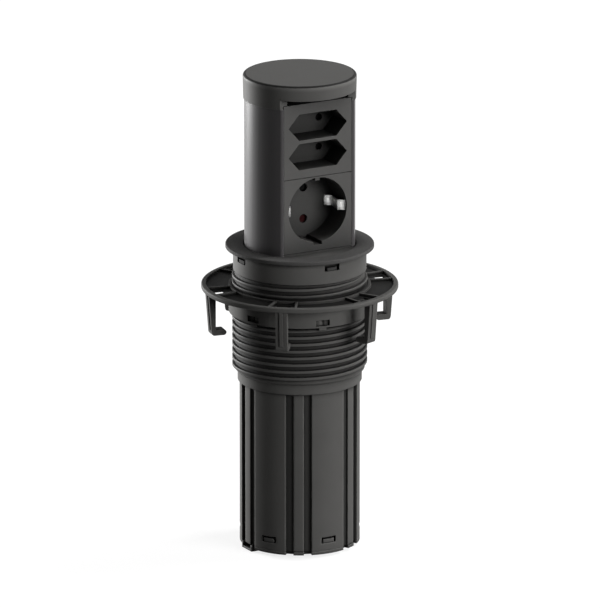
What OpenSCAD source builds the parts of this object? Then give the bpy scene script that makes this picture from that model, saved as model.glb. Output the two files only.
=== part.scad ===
// Pop up desk socket: a D-shaped socket tower that slides out of a threaded sleeve in a desk top.
// The axis is Z, the desk surface is z = 0 and the sockets face -Y. The tower is modelled raised.

/* [Tower] */
// Diameter of the round side of the tower
tower_d = 65.2; // [60:0.2:72]
// Wall of the tower's profile
tower_wall = 2.2; // [1.6:0.1:2.6]
// Width of the lip that holds a socket module on each side of the flat face
lip_w = 1.65; // [1.4:0.05:3]
// Thickness of the ledges behind the modules' plates
ledge_t = 1.8; // [1.4:0.1:2.4]
// Rounding of the tower's two front corners
corner_r = 1.6; // [0.4:0.1:1.6]
// Diameter of the bosses that take the fixing screws inside the profile
boss_d = 6; // [5:0.5:7]
// Diameter of the fixing screws' thread
screw_d = 2.6; // [2:0.2:3]
// Diameter of the fixing screws' heads
screw_head_d = 5; // [4:0.2:6]

/* [Cap] */
// How far the cap stands out past the tower's round side
cap_lip = 0.8; // [0.4:0.1:2]
// Height of the round disc of the cap
cap_disc_h = 7.5; // [6:0.1:14]
// Height of the skirt under the disc, on the round side
cap_skirt_h = 7; // [5:0.1:9]
// How far the skirt laps over the top of the tower
cap_lap = 1.9; // [1:0.1:3]
// Rounding of the cap's top edge
cap_edge_r = 1.6; // [0.5:0.1:3]
// Draft of the cap's side, from its top to the foot of its skirt
cap_draft = 0.3; // [0:0.1:0.6]
// How far the finger groove under the cap reaches behind the flat face
groove_depth = 8; // [4:0.1:10]
// Width of the finger groove
groove_w = 41; // [30:0.5:42]
// Thickness of the cap's top
cap_wall = 3; // [2:0.2:4]

/* [Socket modules] */
// Width of a socket module
module_w = 45; // [43:0.5:47]
// Height of a socket module
module_h = 45; // [44:0.5:50]
// Gap round a module's front plate
plate_gap = 0.2; // [0.1:0.05:0.4]
// Thickness of a module's front plate
plate_t = 3; // [2:0.2:4]
// Width of the box behind the front plate
module_box_w = 41.6; // [41.2:0.2:42]
// Thickness of the floor behind the earthed recess
floor_t = 1.6; // [1.2:0.1:2.5]
// Thickness of a shutter
shutter_t = 1.8; // [1.2:0.1:2.4]
// Depth of the rear cover that holds the contacts
rear_d = 10; // [8:0.5:12]
// Distance between the two pin centres of a socket
pin_pitch = 19; // [19:0.1:19.4]

/* [Twin flat sockets] */
// Length of a flat recess, tip to tip
flat_l = 39; // [36:0.5:39.6]
// Height of a flat recess
flat_h = 15.8; // [14:0.2:16.4]
// Length of the straight top and bottom of a flat recess
flat_straight = 24.8; // [20:0.2:28]
// Depth of a flat recess
flat_depth = 16; // [12:0.5:17]
// Distance between the two flat recesses
flat_pitch = 17.8; // [17:0.1:20]
// How far the pair of flat recesses sits below the middle of its module
flat_drop = 0.5; // [0:0.1:2]
// Diameter of the flat socket's pin holes
flat_pin_d = 4.4; // [4.2:0.1:5]
// Sideways travel of a flat socket's shutter
flat_shutter_travel = 5.5; // [5.4:0.1:6]

/* [Earthed socket] */
// Diameter of the round recess
recess_d = 39; // [38:0.2:39.6]
// Depth of the round recess
recess_depth = 17.5; // [16.5:0.5:19]
// How far the round recess sits above the middle of its module
recess_rise = 2.2; // [0:0.1:2.3]
// Diameter of the earthed socket's pin holes
earthed_pin_d = 5.2; // [5:0.1:5.6]
// Width of the guide tab at the top of the recess
guide_w = 3; // [2:0.2:5]
// Width of the notch at the bottom of the recess
notch_w = 5.6; // [3:0.2:6]
// Depth of the guide tab and of the notch
guide_depth = 1.8; // [1:0.1:2.5]
// Width of the earth clip
clip_w = 6; // [4:0.5:8]
// Thickness of the earth clip's metal
clip_t = 0.8; // [0.6:0.1:1]
// How far the clip's arms stand in from the recess's wall, at its floor
clip_reach = 5.5; // [4:0.1:5.6]
// Radius of the shutter's pivot
pivot_r = 1.5; // [1.2:0.1:2]
// How far a shutter's wing laps past its pin hole
wing_lap = 0.6; // [0.4:0.1:0.8]

/* [Contacts] */
// Wall of a contact sleeve
contact_wall = 0.8; // [0.6:0.1:1]
// Thickness of the flat bars that join two contact sleeves
bar_t = 1; // [0.6:0.1:1.2]
// Width of the slit in a contact sleeve
contact_slit = 0.6; // [0.4:0.1:1]
// How far the contact sleeves lie behind the modules
contact_set = 0.4; // [0.3:0.1:0.8]
// Distance of the rear covers' screws from the edge of the modules
cover_screw_inset = 3.4; // [3.2:0.1:4]

/* [Terminal block] */
// Width of the terminal block
terminal_w = 27; // [24:0.5:30]
// Depth of the terminal block
terminal_d = 9.5; // [8:0.5:10]
// Height of the terminal block
terminal_h = 20; // [16:0.5:30]
// Distance between two poles
terminal_pitch = 8.4; // [8:0.1:9]
// Diameter of a pole's chamber
terminal_hole_d = 5.6; // [5.2:0.1:6]
// Diameter of the wire hole in a pole's brass clamp
wire_d = 3.4; // [2.6:0.1:3.8]
// Gap between the lower rear cover and the terminal block
terminal_gap = 2.6; // [2.4:0.1:4]

/* [Foot] */
// Height of the foot's round top above the desk surface
foot_rise = 1.2; // [0.6:0.1:2]
// Height of the sill between the foot and the lower module
sill_h = 1.1; // [0.6:0.1:2]
// Thickness of the foot's floor
foot_floor = 3; // [2.4:0.2:5]
// Wall of the foot
foot_wall = 2.6; // [2.4:0.1:3.5]
// Height of the guide lugs
lug_h = 7.7; // [5:0.1:12]
// How far the foot reaches below its lugs
foot_tail = 0.6; // [0.4:0.1:4]
// Diameter of the cable hole through the foot
foot_hole_d = 16; // [10:1:20]
// Height of the friction ring round the foot
friction_h = 3; // [2:0.2:4]
// Depth of the friction ring's groove
friction_depth = 1.2; // [0.8:0.1:1.6]

/* [Sleeve] */
// Height of the smooth neck below the bezel
neck_h = 14; // [14:0.5:20]
// How far the neck lies inside the thread's crest
neck_relief = 0.55; // [0.3:0.05:1.5]
// Wall of the neck
neck_wall = 2.2; // [1.6:0.1:2.6]
// Height of the ring that stops the raised tower
stop_h = 3; // [2:0.2:5]
// Length of the threaded part
thread_l = 60.4; // [50:0.2:80]
// Pitch of the thread
thread_pitch = 4.15; // [3:0.05:6]
// Depth of the thread
thread_depth = 1.5; // [0.8:0.1:2]
// Wall of the sleeve under the thread
sleeve_wall = 2.1; // [1.6:0.1:2.6]
// Height of the guide rails inside the sleeve
rail_h = 3.3; // [2.6:0.1:5]
// Height of the collar that takes the guide tube
collar_h = 6.3; // [4:0.1:10]
// Wall of the collar
collar_wall = 1.75; // [1.4:0.05:3]
// Width of the four snap slots in the neck
slot_w = 9.8; // [8:0.2:12]
// Height of the snap slots
slot_h = 3.8; // [3:0.1:5]
// Depth of the slots' centres below the desk surface
slot_z = 3.9; // [3:0.1:5]

/* [Guide tube] */
// Length of the guide tube below the collar
tube_l = 97; // [90:1:140]
// Wall of the guide tube at its lands
tube_wall = 2.6; // [2.4:0.1:4]
// Half angle of a channel between two lands
channel_a = 12.5; // [10:0.5:16]
// Half angle of the rib in the middle of a channel
rib_a = 5; // [4.6:0.1:7]
// Half angle of a keyway inside the tube
key_a = 4.2; // [3:0.1:4.3]
// Depth of a keyway
key_depth = 0.9; // [0.7:0.05:1]
// Wall between a keyway and the outside of its rib
rib_wall = 1.2; // [0.7:0.1:1.3]
// Wall under the grooves beside the ribs
groove_wall = 0.9; // [0.8:0.1:1.4]
// Wall of the spigot that plugs into the collar
spigot_wall = 1.9; // [1.7:0.1:2.6]
// Width of the snap windows near the lower end
window_w = 9.5; // [9:0.5:12]
// Height of the snap windows
window_h = 3.7; // [3:0.1:6]
// Width of the tongues in the snap windows
tongue_w = 7; // [5:0.1:8.8]
// Height of the tongues
tongue_h = 2.4; // [2:0.1:2.8]
// Height of the windows' centres above the lower end
window_z = 6.5; // [5:0.1:10]

/* [Base cap] */
// Thickness of the base cap's plate
base_t = 1.9; // [1.6:0.1:3]
// Height of the plug inside the guide tube
plug_h = 13; // [11:0.5:20]
// Wall of the plug
plug_wall = 2; // [1.6:0.1:3]
// Width of the cable outlet
outlet_w = 11.6; // [9:0.2:16]
// Drop of the cable outlet below the guide tube
outlet_h = 3.7; // [3.2:0.1:8]
// Wall round the outlet's mouth
outlet_wall = 1.2; // [0.8:0.1:1.5]
// How far the outlet's mouth stands out past the guide tube
outlet_proud = 0.2; // [0:0.1:2]
// Length of the cable outlet, along its mouth's axis
outlet_l = 15; // [12:0.5:20]

/* [Bezel] */
// How far the flange reaches past the neck
flange_w = 4.5; // [3:0.1:12]
// Depth of the groove under the flange that takes the top of the neck
bezel_rebate = 0.6; // [0.4:0.1:0.8]
// Thickness of the flange
bezel_t = 2; // [1.6:0.1:4]
// Rounding of the flange's top edges
bezel_edge_r = 0.7; // [0.3:0.1:1]
// Wall of the skirt that carries the snap hooks
skirt_wall = 1.6; // [1.2:0.1:2]
// How far the skirt reaches below the snap slots
skirt_tail = 1.4; // [0.6:0.1:3]
// Width of a snap hook
snap_w = 6.2; // [4:0.1:7.8]
// Height of a snap hook
snap_h = 2; // [1.4:0.1:2.6]

/* [Lock nut] */
// Depth of the rim's top below the desk surface
nut_z = 22.2; // [18:0.1:40]
// Height of the hub below the rim's top
hub_h = 16.7; // [14:0.1:24]
// How far the hub's top lies below the rim's top
hub_drop = 0.4; // [0.2:0.1:1.2]
// Wall of the hub
hub_wall = 1.7; // [1.4:0.1:3]
// How far the rim reaches past the hub
nut_reach = 16.2; // [12:0.1:24]
// Height of the rim
rim_h = 3; // [2.4:0.1:6]
// Width of the rim
rim_w = 2.8; // [2:0.1:4]
// Rounding of the rim's outer edges
rim_edge_r = 0.9; // [0.4:0.1:1.2]
// Thickness of the web between hub and rim
web_t = 1.2; // [1:0.1:2.2]
// Angle between a leg and the radial ribs beside it, in degrees
rib_turn = 8.5; // [7:0.5:14]
// Thickness of a radial rib
nut_rib_t = 1.3; // [0.8:0.1:2]
// Number of legs
leg_count = 6; // [3:1:8]
// Direction of the first leg, in degrees
leg_a0 = 50; // [0:1:59]
// Length of a leg below the rim
leg_l = 24; // [15:0.2:40]
// Width of a leg
leg_w = 7; // [5:0.1:9]
// Thickness of a leg at its root
leg_t = 4.2; // [3.2:0.1:5]
// How far a leg's outer face is set in from the rim
leg_set = 0.6; // [0.4:0.1:2]
// How far a leg's outer face leans inwards on its way down
leg_lean = 1.9; // [0:0.1:2]
// Width of the rib down the middle of a leg
leg_rib_w = 2.2; // [1.4:0.1:3]
// How far that rib stands out
leg_rib_t = 0.5; // [0.2:0.1:0.8]
// How far a leg's hook reaches inwards
hook_l = 6.6; // [3:0.1:8]
// Height of a leg's hook
hook_h = 3.3; // [3:0.1:8]
// Width of the windows in the hub
hub_window_w = 8.5; // [5:0.5:12]
// Height of the windows in the hub
hub_window_h = 3.6; // [2.4:0.1:6]
// Width of the tabs under the windows in the hub
hub_tab_w = 4.4; // [3:0.1:6]
// How far those tabs hang below the hub
hub_tab_h = 1.6; // [0.6:0.1:3]
// Height of the thread lugs inside the hub
nut_lug_h = 1.1; // [0.6:0.1:1.3]

/* [Clearances] */
// Running gap between the tower and its guides
slide_gap = 0.3; // [0.2:0.05:0.5]
// Gap between pieces that are fitted together and don't move
fit_gap = 0.1; // [0.05:0.05:0.2]
// Gap round a shutter
shutter_gap = 0.25; // [0.15:0.05:0.4]
// Radial gap of a shutter on its pivot
pivot_gap = 0.05; // [0.03:0.01:0.1]
// Radial gap of the friction ring in its bore
friction_gap = 0.08; // [0.03:0.01:0.1]
// Gap between the thread's crest and the lock nut
thread_gap = 0.3; // [0.2:0.05:0.6]

/* [Hidden] */
$fn = 96;
over = 1;

charcoal = "#3a3a39";
graphite = "#454543";
soot = "#2b2b2a";
nickel = "#d5d5d2";
brass_tone = "#c09a4c";
shutter_red = "#8e1f22";
steel_tone = "#a9abad";

// Radii, from the tower outwards
tower_r = tower_d / 2;
cap_r = tower_r + cap_lip;
bore_r = tower_r + slide_gap;
key_r = bore_r + key_depth;
lug_r = key_r - slide_gap;
land_r = bore_r + tube_wall;
rib_r = key_r + rib_wall;
groove_r = bore_r + groove_wall;
spigot_r = bore_r + spigot_wall;
socket_r = spigot_r + fit_gap;
collar_r = socket_r + collar_wall;
shell_r = bore_r + rail_h;
root_r = shell_r + sleeve_wall;
crest_r = root_r + thread_depth;
neck_r = crest_r - neck_relief;
neck_in_r = neck_r - neck_wall;
bezel_r = neck_r + flange_w;
nut_bore_r = crest_r + thread_gap;
hub_r = nut_bore_r + hub_wall;
rim_r = hub_r + nut_reach;

// Heights, from the desk surface
module_z0 = foot_rise + sill_h;
module_z1 = module_z0 + module_h;
modules_top = module_z0 + 2 * module_h;
skirt_z = modules_top - cap_lap;
disc_z = skirt_z + cap_skirt_h;
cap_top = disc_z + cap_disc_h;
stop_z = -neck_h - stop_h;
lug_z = stop_z - slide_gap;
lug_bottom = lug_z - lug_h;
foot_bottom = lug_bottom - foot_tail;
thread_z = -neck_h - thread_l;
sleeve_z = thread_z - collar_h;
spigot_l = collar_h - over / 2;
friction_z = stop_z + stop_h / 2;
tube_z = sleeve_z - tube_l;
base_z = tube_z - base_t;
outlet_z = tube_z - outlet_h;
rim_top = -nut_z;
rim_bottom = rim_top - rim_h;

// How far snap hooks and tongues stay inside the face that they show through
snap_sink = 0.3;

// The lock nut's legs, the holes above their hooks and the ribs of its web
leg_out = rim_r - leg_set;
leg_in = leg_out - leg_t;
core_gap = 0.5;
rib_sink = 0.3;
hub_foot = 1;
tab_sink = 0.2;

// The flat face and the depths behind it
face_half = module_w / 2 + plate_gap + lip_w;
face_y = -sqrt(tower_r * tower_r - face_half * face_half);
plate_y = face_y + plate_t;
cavity_d = shutter_t + 2 * shutter_gap;
module_d = recess_depth + floor_t + cavity_d;
rear_y = face_y + module_d;
back_y = rear_y + rear_d;
cavity_y = rear_y - cavity_d;
recess_floor_y = face_y + recess_depth;
flat_floor_y = face_y + flat_depth;
inner_r = tower_r - tower_wall;

// The sockets' centres
flat_z = module_z1 + module_h / 2 - flat_drop;
recess_z = module_z0 + module_h / 2 + recess_rise;
recess_r = recess_d / 2;
half_pin = pin_pitch / 2;
flat_rows = [flat_z - flat_pitch / 2, flat_z + flat_pitch / 2];
earthed_rows = [recess_z - half_pin, recess_z + half_pin];

// Shutters and contacts
flat_shutter_w = pin_pitch + 2 * flat_pin_d;
flat_shutter_h = 2 * flat_pin_d;
wing_r = earthed_pin_d / 2 + wing_lap;
shutter_pocket_r = half_pin + wing_r + 2 * shutter_gap;
bar_sleeve_r = flat_pin_d / 2 + contact_wall;
bar_w = 2 * bar_sleeve_r;
clamp_r = earthed_pin_d / 2 + contact_wall;
clamp_back = 2.5;
clamp_l = rear_d - clamp_back;
clip_x = recess_r - clip_reach;
clip_gap = 0.3;
cover_screw_x = module_box_w / 2 - cover_screw_inset;
cover_screw_z = module_h / 2 - cover_screw_inset;
cover_screw_grip = 4;
terminal_y = back_y + terminal_gap;
terminal_z = module_z0 - fit_gap;
terminal_screw_z = terminal_h - terminal_hole_d / 2 - over;

// Bosses, keyways, lands and snap slots round the axis
boss_at = inner_r - boss_d / 2 + over / 2;
boss_dirs = [30, 90, 150];
key_dirs = [for (k = [0:5]) 60 * k];
land_dirs = [for (k = [0:5]) 60 * k + 30];
slot_dirs = [for (k = [0:3]) 90 * k];

// A pie slice with its middle along X
module slice(r, half_a) {
    intersection() {
        circle(r);
        polygon([[0, 0], 2 * r * [cos(half_a), -sin(half_a)], 2 * r * [cos(half_a), sin(half_a)]]);
    }
}

// A flat ring
module band(r_out, r_in) {
    difference() {
        circle(r_out);
        circle(r_in);
    }
}

// A drawing in X and Z, raised along Y from y0 to y1
module along_y(y0, y1) {
    translate([0, y1, 0])
        rotate([90, 0, 0])
            linear_extrude(y1 - y0)
                children();
}

// A box given by the middle of its X span, and by its Y and Z limits
module slab(x, w, y0, y1, z0, z1) {
    translate([x - w / 2, y0, z0])
        cube([w, y1 - y0, z1 - z0]);
}

// A round rod along Y, at x and z
module rod_y(r, y0, y1, x = 0, z = 0) {
    translate([x, y1, z])
        rotate([90, 0, 0])
            cylinder(r = r, h = y1 - y0);
}

// What lies outside the rounded front corner on the +X side
module corner_waste() {
    cx = sqrt(pow(tower_r - corner_r, 2) - pow(face_y + corner_r, 2));
    cy = face_y + corner_r;
    out_a = atan2(cy, cx);
    steps = 8;
    angles = [for (k = [0:steps]) -90 + (out_a + 90) * k / steps];
    arc = [for (a = angles) [cx, cy] + corner_r * [cos(a), sin(a)]];
    far = [cx, cy] + 3 * corner_r * [cos(out_a), sin(out_a)];
    polygon(concat(arc, [far, [far[0], face_y - over], [cx, face_y - over]]));
}

// The tower's outline: a circle cut by the flat face, with rounded corners
module tower_outline(r = tower_r) {
    difference() {
        circle(r);
        translate([-2 * r, face_y - 2 * r])
            square([4 * r, 2 * r]);
        corner_waste();
        mirror([1, 0])
            corner_waste();
    }
}

// The guide tube's outline: six lands, with a ribbed channel between each two
module tube_outline() {
    difference() {
        circle(land_r);
        for (a = key_dirs)
            rotate(a)
                difference() {
                    slice(land_r + over, channel_a);
                    circle(groove_r);
                    intersection() {
                        slice(land_r + over, rib_a);
                        circle(rib_r);
                    }
                }
    }
}

// The guide bore with its six keyways
module key_bore() {
    circle(bore_r);
    for (a = key_dirs)
        rotate(a)
            slice(key_r, key_a);
}

// Bezel: the flange that rests on the desk, and a skirt whose hooks snap into the neck
module bezel_flange() {
    skirt_r = neck_in_r - fit_gap;
    snap_z = -slot_z - slot_h / 2 + fit_gap;
    skirt_z0 = snap_z - skirt_tail;
    color(charcoal) {
        rotate_extrude()
            difference() {
                union() {
                    translate([bore_r, 0])
                        square([bezel_r - bore_r, bezel_t - bezel_edge_r]);
                    translate([bore_r + bezel_edge_r, 0])
                        square([bezel_r - bore_r - 2 * bezel_edge_r, bezel_t]);
                    for (x = [bore_r + bezel_edge_r, bezel_r - bezel_edge_r])
                        translate([x, bezel_t - bezel_edge_r])
                            circle(bezel_edge_r);
                }
                translate([skirt_r, -over])
                    square([neck_r + fit_gap - skirt_r, bezel_rebate + over]);
            }
        translate([0, 0, skirt_z0])
            linear_extrude(-skirt_z0 + bezel_rebate)
                band(skirt_r, skirt_r - skirt_wall);
        for (a = slot_dirs)
            rotate(a)
                translate([0, 0, snap_z])
                    linear_extrude(snap_h)
                        intersection() {
                            band(neck_r - snap_sink, skirt_r - skirt_wall / 2);
                            translate([0, -snap_w / 2])
                                square([neck_r, snap_w]);
                        }
    }
}

// Sleeve: neck, thread and collar, with guide rails inside
module threaded_sleeve() {
    neck_top = bezel_rebate - fit_gap;
    step = 0.8;
    ledge = 2.5;
    rail_a = 3;
    color(charcoal) {
        difference() {
            rotate_extrude()
                polygon([
                    [neck_r, neck_top], [neck_r, -neck_h + step], [root_r, -neck_h],
                    [root_r, thread_z + step], [collar_r, thread_z - step], [collar_r, sleeve_z],
                    [socket_r, sleeve_z], [socket_r, sleeve_z + collar_h - over / 2 + fit_gap],
                    [bore_r, sleeve_z + collar_h - over / 2 + fit_gap], [bore_r, thread_z + ledge],
                    [shell_r, thread_z + ledge], [shell_r, stop_z],
                    [bore_r, stop_z], [bore_r, -neck_h], [neck_in_r, -neck_h], [neck_in_r, neck_top]
                ]);
            for (a = slot_dirs)
                rotate(a)
                    slab(neck_r, 2 * neck_wall + over, -slot_w / 2, slot_w / 2,
                        -slot_z - slot_h / 2, -slot_z + slot_h / 2);
            for (a = key_dirs)
                rotate(a)
                    translate([0, 0, thread_z - over])
                        linear_extrude(ledge + 2 * over)
                            slice(key_r, key_a);
        }
        for (a = key_dirs)
            for (side = [-1, 1])
                rotate(a + side * (key_a + rail_a))
                    translate([0, 0, thread_z + ledge - over])
                        linear_extrude(stop_z - thread_z - ledge + 2 * over)
                            intersection() {
                                slice(shell_r + over, rail_a);
                                band(shell_r + over / 2, bore_r);
                            }
    }
}

// Guide tube: ribbed outside, keyed inside, with a spigot above and snap windows below
module guide_tube() {
    color(graphite)
        difference() {
            union() {
                translate([0, 0, tube_z])
                    linear_extrude(tube_l)
                        tube_outline();
                translate([0, 0, sleeve_z - over])
                    cylinder(r = spigot_r, h = spigot_l + over);
            }
            translate([0, 0, tube_z - over])
                linear_extrude(tube_l + collar_h + 2 * over)
                    key_bore();
            for (a = land_dirs)
                rotate(a)
                    slab(land_r, 2 * tube_wall + over, -window_w / 2, window_w / 2,
                        tube_z + window_z - window_h / 2, tube_z + window_z + window_h / 2);
        }
}

// Base cap: closes the guide tube, snaps into its windows and lets the cable out at the side
module base_cap() {
    plug_r = bore_r - fit_gap;
    tongue_z = tube_z + window_z - window_h / 2 + fit_gap;
    mouth_w = outlet_w - 2 * outlet_wall;
    mouth_z0 = outlet_z + outlet_wall;
    outlet_x = -land_r - outlet_proud;
    color(charcoal)
        difference() {
            union() {
                translate([0, 0, base_z])
                    linear_extrude(base_t)
                        difference() {
                            circle(land_r);
                            for (a = key_dirs)
                                for (side = [-1, 1])
                                    rotate(a + side * (channel_a + rib_a) / 2)
                                        difference() {
                                            slice(land_r + over, (channel_a - rib_a) / 2);
                                            circle(plug_r - over);
                                        }
                        }
                translate([0, 0, base_z])
                    linear_extrude(base_t + plug_h)
                        band(plug_r, plug_r - plug_wall);
                for (a = land_dirs)
                    rotate(a)
                        translate([0, 0, tongue_z])
                            linear_extrude(tongue_h)
                                intersection() {
                                    band(land_r - snap_sink, plug_r - plug_wall / 2);
                                    translate([0, -tongue_w / 2])
                                        square([land_r, tongue_w]);
                                }
                slab(outlet_x + outlet_l / 2, outlet_l, -outlet_w / 2, outlet_w / 2, outlet_z, tube_z);
            }
            slab(outlet_x + outlet_l / 2 - outlet_wall, outlet_l, -mouth_w / 2, mouth_w / 2,
                mouth_z0, tube_z + over);
        }
}

// One leg of the lock nut, hanging from the rim, with a hook that points inwards
module nut_leg() {
    leg_z = rim_bottom - leg_l;
    hook_z = leg_z + hook_h;
    root_z = rim_bottom + web_t / 2;
    tip = hook_h / 2;
    heel_r = 1.5;
    foot_out = leg_out - leg_lean;
    hook_end = leg_in - hook_l;
    along_y(-leg_w / 2, leg_w / 2)
        difference() {
            polygon([
                [leg_out, root_z], [leg_in, root_z], [leg_in, hook_z], [hook_end + tip, hook_z],
                [hook_end + tip, leg_z], [foot_out, leg_z]
            ]);
            translate([foot_out - heel_r, leg_z + heel_r])
                difference() {
                    translate([0, -2 * heel_r])
                        square(2 * heel_r);
                    circle(heel_r);
                }
        }
    along_y(-leg_rib_w / 2, leg_rib_w / 2)
        polygon([
            [leg_out + leg_rib_t, root_z], [leg_in, root_z], [foot_out - leg_rib_t, hook_z],
            [foot_out + leg_rib_t + leg_lean * hook_h / leg_l, hook_z]
        ]);
    rod_y(tip, -leg_w / 2, leg_w / 2, hook_end + tip, leg_z + tip);
}

// Lock nut: a hub with thread lugs inside, a ribbed web and a rim with hooked legs
module lock_nut() {
    rim_in = rim_r - rim_w;
    hub_bottom = rim_top - hub_h;
    hub_top = rim_top - hub_drop;
    core_w = leg_w + 2 * core_gap;
    core_l = hook_l - core_gap;
    window_z0 = hub_bottom + hub_foot;
    lug_z0 = window_z0 + hub_window_h + hub_foot;
    lug_half_a = 5;
    color(charcoal)
        difference() {
            union() {
                rotate_extrude()
                    union() {
                        translate([nut_bore_r, hub_bottom])
                            square([hub_wall, hub_top - hub_bottom]);
                        translate([nut_bore_r + hub_wall / 2, rim_bottom])
                            square([rim_in - nut_bore_r - hub_wall / 2 + over, web_t]);
                        translate([rim_in, rim_bottom])
                            square([rim_w - rim_edge_r, rim_h]);
                        translate([rim_in, rim_bottom + rim_edge_r])
                            square([rim_w, rim_h - 2 * rim_edge_r]);
                        for (z = [rim_bottom + rim_edge_r, rim_top - rim_edge_r])
                            translate([rim_r - rim_edge_r, z])
                                circle(rim_edge_r);
                    }
                for (k = [0:leg_count - 1]) {
                    rotate(leg_a0 + k * 360 / leg_count)
                        nut_leg();
                    for (side = [-1, 1])
                        rotate(leg_a0 + k * 360 / leg_count + side * rib_turn)
                            slab((hub_r + rim_in) / 2, rim_in - hub_r + over, -nut_rib_t / 2, nut_rib_t / 2,
                                rim_bottom + web_t / 2, rim_top - rib_sink);
                    rotate(leg_a0 + (k + 0.5) * 360 / leg_count) {
                        translate([0, 0, lug_z0 + thread_pitch * k / leg_count])
                            linear_extrude(nut_lug_h)
                                intersection() {
                                    slice(hub_r, lug_half_a);
                                    band(nut_bore_r + hub_wall / 2, root_r + thread_gap);
                                }
                        translate([0, 0, hub_bottom - hub_tab_h])
                            linear_extrude(hub_tab_h + hub_foot / 2)
                                intersection() {
                                    band(hub_r - tab_sink, nut_bore_r + tab_sink);
                                    translate([0, -hub_tab_w / 2])
                                        square([hub_r, hub_tab_w]);
                                }
                    }
                }
            }
            for (k = [0:leg_count - 1]) {
                rotate(leg_a0 + k * 360 / leg_count)
                    slab(leg_in - core_l / 2 - core_gap, core_l, -core_w / 2, core_w / 2,
                        rim_bottom - over / 2, rim_top + over);
                rotate(leg_a0 + (k + 0.5) * 360 / leg_count)
                    slab(hub_r, 2 * hub_wall, -hub_window_w / 2, hub_window_w / 2,
                        window_z0, window_z0 + hub_window_h);
            }
        }
}

// Tower shell: an extruded profile, open in front, with ledges behind the modules and screw bosses
module tower_shell() {
    open_w = module_w + 2 * plate_gap;
    ledge_y = plate_y + fit_gap;
    ledge_in = module_box_w / 2 + fit_gap;
    color(graphite)
        translate([0, 0, foot_rise])
            linear_extrude(skirt_z - foot_rise) {
                difference() {
                    tower_outline();
                    difference() {
                        circle(inner_r);
                        for (side = [-1, 1])
                            translate([side > 0 ? ledge_in : -ledge_in - tower_r, ledge_y])
                                square([tower_r, ledge_t]);
                    }
                    translate([-open_w / 2, face_y - over])
                        square([open_w, plate_t + fit_gap + over]);
                }
                difference() {
                    intersection() {
                        boss_places()
                            circle(d = boss_d);
                        circle(inner_r + over);
                    }
                    boss_places()
                        circle(d = screw_d + 2 * fit_gap);
                }
            }
}

// Cap: a round disc over a skirt, with a groove above the flat face for the finger that lifts it
module top_cap() {
    peg_l = 8;
    core_r = inner_r - boss_d;
    color(charcoal) {
        difference() {
            rotate_extrude()
                difference() {
                    polygon([
                        [0, skirt_z], [cap_r - cap_draft, skirt_z], [cap_r, cap_top - cap_edge_r],
                        [cap_r, cap_top], [0, cap_top]
                    ]);
                    translate([cap_r - cap_edge_r, cap_top - cap_edge_r])
                        difference() {
                            square(2 * cap_edge_r);
                            circle(cap_edge_r);
                        }
                }
            translate([0, 0, skirt_z - over])
                linear_extrude(disc_z - skirt_z + over) {
                    translate([-2 * cap_r, face_y - 4 * cap_r])
                        square(4 * cap_r);
                    translate([-groove_w / 2, face_y - over])
                        square([groove_w, groove_depth + over]);
                }
            translate([0, 0, skirt_z - over])
                linear_extrude(cap_top - cap_wall - skirt_z + over)
                    difference() {
                        circle(core_r);
                        translate([-cap_r, face_y + groove_depth + cap_wall - 2 * cap_r])
                            square(2 * cap_r);
                    }
            slab(0, module_w + over, face_y - over, -core_r / 2, skirt_z - over, modules_top + fit_gap);
            slab(0, module_box_w + over, face_y - over, back_y + over, skirt_z - over, modules_top + fit_gap);
        }
        boss_places()
            translate([0, 0, skirt_z - peg_l])
                cylinder(d = screw_d, h = peg_l + over);
    }
}

// Places of the bosses and their screws round the axis
module boss_places() {
    for (a = boss_dirs)
        rotate(a)
            translate([boss_at, 0])
                children();
}

// Foot: the round piston under the tower, with guide lugs that run in the keyways
module foot_guide() {
    top_z = module_z0 - fit_gap;
    inner_wall_r = tower_r - foot_wall;
    floor_z = foot_rise - foot_floor;
    spigot_in = inner_r - fit_gap;
    sill_w = module_w;
    ledge_end = plate_y + ledge_t + 2 * fit_gap;
    lug_play = 0.5;
    lug_a = key_a - lug_play;
    color(charcoal)
        difference() {
            union() {
                translate([0, 0, foot_bottom])
                    cylinder(r = tower_r, h = foot_rise - foot_bottom);
                translate([0, 0, foot_rise - over])
                    linear_extrude(top_z - foot_rise + over)
                        difference() {
                            circle(spigot_in);
                            translate([-tower_r, ledge_end - 2 * tower_r])
                                square([2 * tower_r, 2 * tower_r]);
                            boss_places()
                                circle(d = boss_d + 2 * fit_gap);
                        }
                slab(0, sill_w, face_y, ledge_end - ledge_t - fit_gap, foot_rise - over, top_z);
                slab(0, module_box_w - over, face_y + over, ledge_end + over, foot_rise - over, top_z);
                for (a = key_dirs)
                    rotate(a)
                        translate([0, 0, lug_bottom])
                            linear_extrude(lug_h)
                                difference() {
                                    slice(lug_r, lug_a);
                                    circle(tower_r - foot_wall / 2);
                                }
            }
            translate([0, 0, foot_bottom - over])
                linear_extrude(floor_z - foot_bottom + over) {
                    circle(inner_wall_r);
                    boss_places()
                        circle(d = screw_head_d + 2 * fit_gap);
                }
            translate([0, 0, floor_z - over])
                cylinder(d = foot_hole_d, h = top_z - floor_z + 2 * over);
            boss_places()
                translate([0, 0, floor_z - over])
                    cylinder(d = screw_d + 2 * fit_gap, h = foot_floor + 2 * over);
            translate([0, 0, friction_z - friction_h / 2 - fit_gap])
                linear_extrude(friction_h + 2 * fit_gap)
                    band(tower_r + over, tower_r - friction_depth);
        }
}

// Friction ring: holds the tower wherever it is left
module friction_ring() {
    color(soot)
        translate([0, 0, friction_z - friction_h / 2])
            linear_extrude(friction_h)
                band(bore_r - friction_gap, tower_r - friction_depth + fit_gap);
}

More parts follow.
